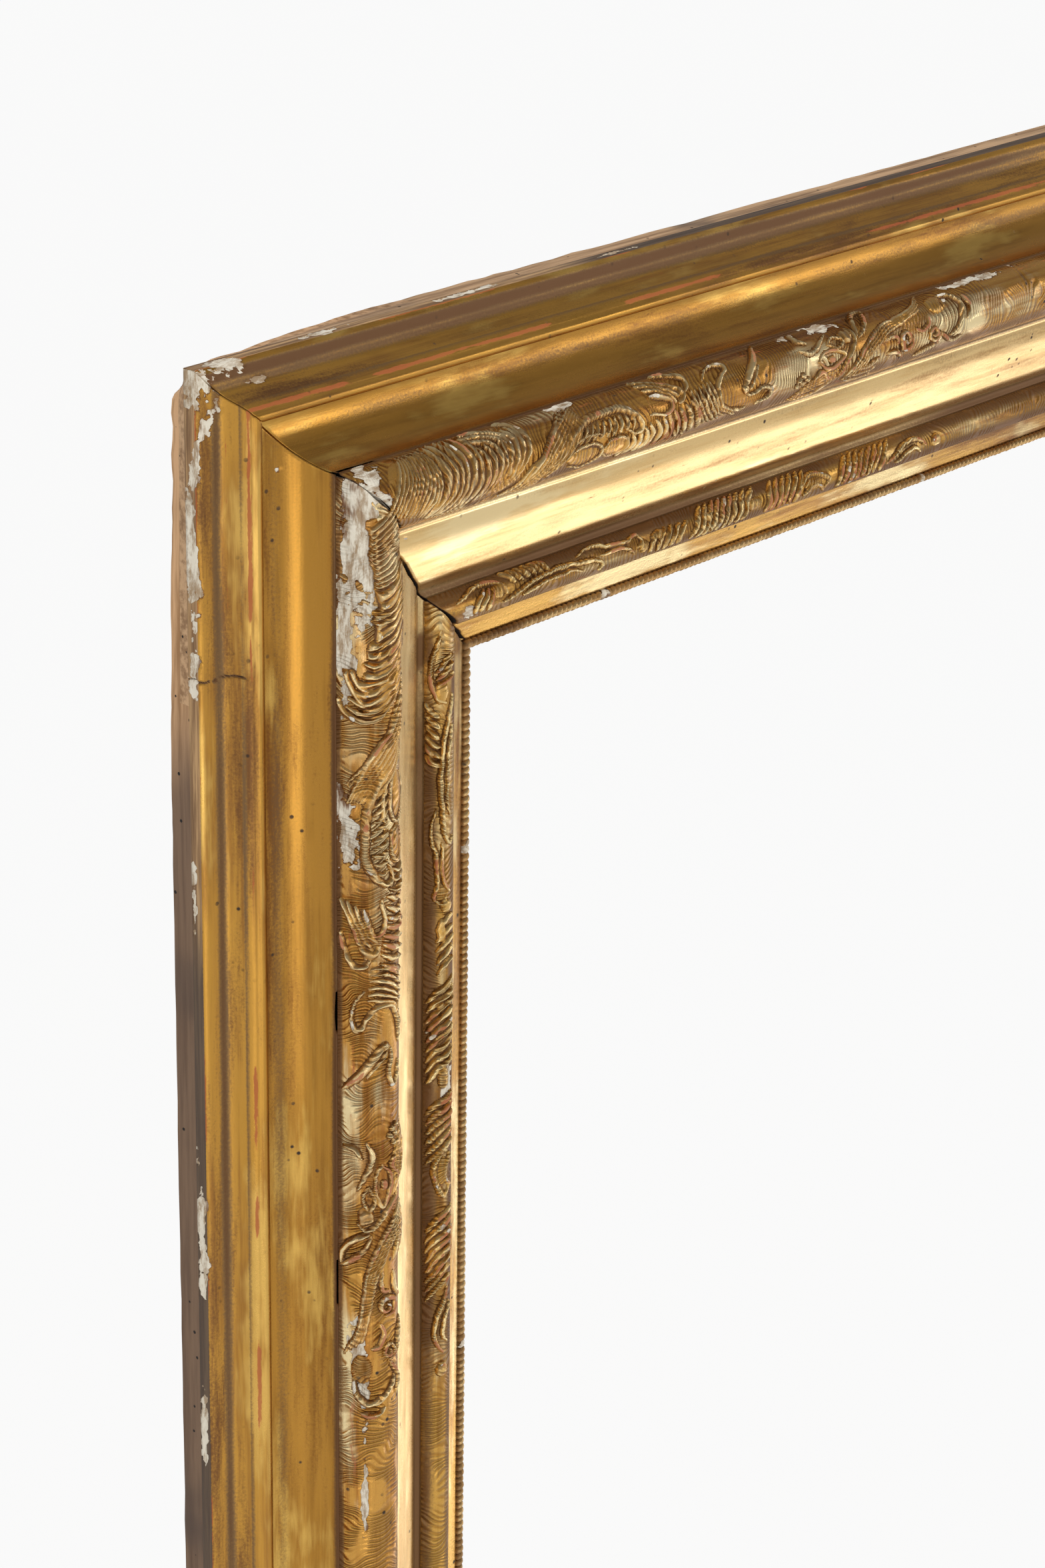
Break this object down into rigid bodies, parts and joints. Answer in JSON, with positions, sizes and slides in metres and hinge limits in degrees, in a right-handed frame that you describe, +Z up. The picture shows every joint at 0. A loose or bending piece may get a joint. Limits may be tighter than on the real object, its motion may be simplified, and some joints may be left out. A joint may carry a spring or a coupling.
{
  "type": "picture frame",
  "caption": "Antique gilded picture frame with cove, half-round torus with shell and leaf relief, burnished ogee and rope sight edge.",
  "frame": {"origin": "middle of the top back rail, on the wall face", "axes": "+X right seen from the front, +Z up, +Y into the wall, so the front faces -Y"},
  "size_m": [0.9876, 0.0738, 1.1776],
  "materials": {
    "raw_pine": "raw, aged",
    "band_gilding": "aged water gilding on gesso",
    "cove_gilding": "matt water gilding on gesso",
    "torus_gilding": "rubbed water gilding on gesso",
    "frieze_burnish": "burnished water gilding",
    "sight_gilding": "sanded matt gilding",
    "rope_gilding": "rubbed gilding",
    "ornament_gilding": "gilded composition",
    "sight_ornament_gilding": "gilded composition",
    "oak_pegs": "raw",
    "iron": "forged, rusty brown"
  },
  "bodies": {
    "frame": {"back_rail_top": "raw_pine", "back_rail_right": "raw_pine", "back_rail_bottom": "raw_pine", "back_rail_left": "raw_pine", "outer_moulding_top": "band_gilding", "outer_moulding_right": "band_gilding", "outer_moulding_bottom": "band_gilding", "outer_moulding_left": "band_gilding", "cove_moulding_top": "cove_gilding", "cove_moulding_right": "cove_gilding", "cove_moulding_bottom": "cove_gilding", "cove_moulding_left": "cove_gilding", "torus_moulding_top": "torus_gilding", "torus_moulding_right": "torus_gilding", "torus_moulding_bottom": "torus_gilding", "torus_moulding_left": "torus_gilding", "frieze_moulding_top": "frieze_burnish", "frieze_moulding_right": "frieze_burnish", "frieze_moulding_bottom": "frieze_burnish", "frieze_moulding_left": "frieze_burnish", "rebate_strip_top": "raw_pine", "rebate_strip_right": "raw_pine", "rebate_strip_bottom": "raw_pine", "rebate_strip_left": "raw_pine", "sight_moulding_top": "sight_gilding", "sight_moulding_right": "sight_gilding", "sight_moulding_bottom": "sight_gilding", "sight_moulding_left": "sight_gilding", "sight_rope_top": "rope_gilding", "sight_rope_right": "rope_gilding", "sight_rope_bottom": "rope_gilding", "sight_rope_left": "rope_gilding", "torus_ornament_top": "ornament_gilding", "torus_ornament_right": "ornament_gilding", "torus_ornament_bottom": "ornament_gilding", "torus_ornament_left": "ornament_gilding", "sight_ornament_top": "sight_ornament_gilding", "sight_ornament_right": "sight_ornament_gilding", "sight_ornament_bottom": "sight_ornament_gilding", "sight_ornament_left": "sight_ornament_gilding", "corner_pegs": "oak_pegs", "moulding_nails": "iron", "screw_eye_left": "iron", "screw_eye_right": "iron"},
    "left_ring": {"hanging_ring_left": "iron"},
    "right_ring": {"hanging_ring_right": "iron"}
  },
  "joints": [
    {"name": "left_ring_swing", "type": "hinge", "parent": "frame", "child": "left_ring", "pos_m": [-0.4401, 0.00674, -0.23745], "axis": [1, 0, 0], "range_deg": [-8, 188]},
    {"name": "right_ring_swing", "type": "hinge", "parent": "frame", "child": "right_ring", "pos_m": [0.4401, 0.00674, -0.23745], "axis": [1, 0, 0], "range_deg": [-8, 188]}
  ]
}
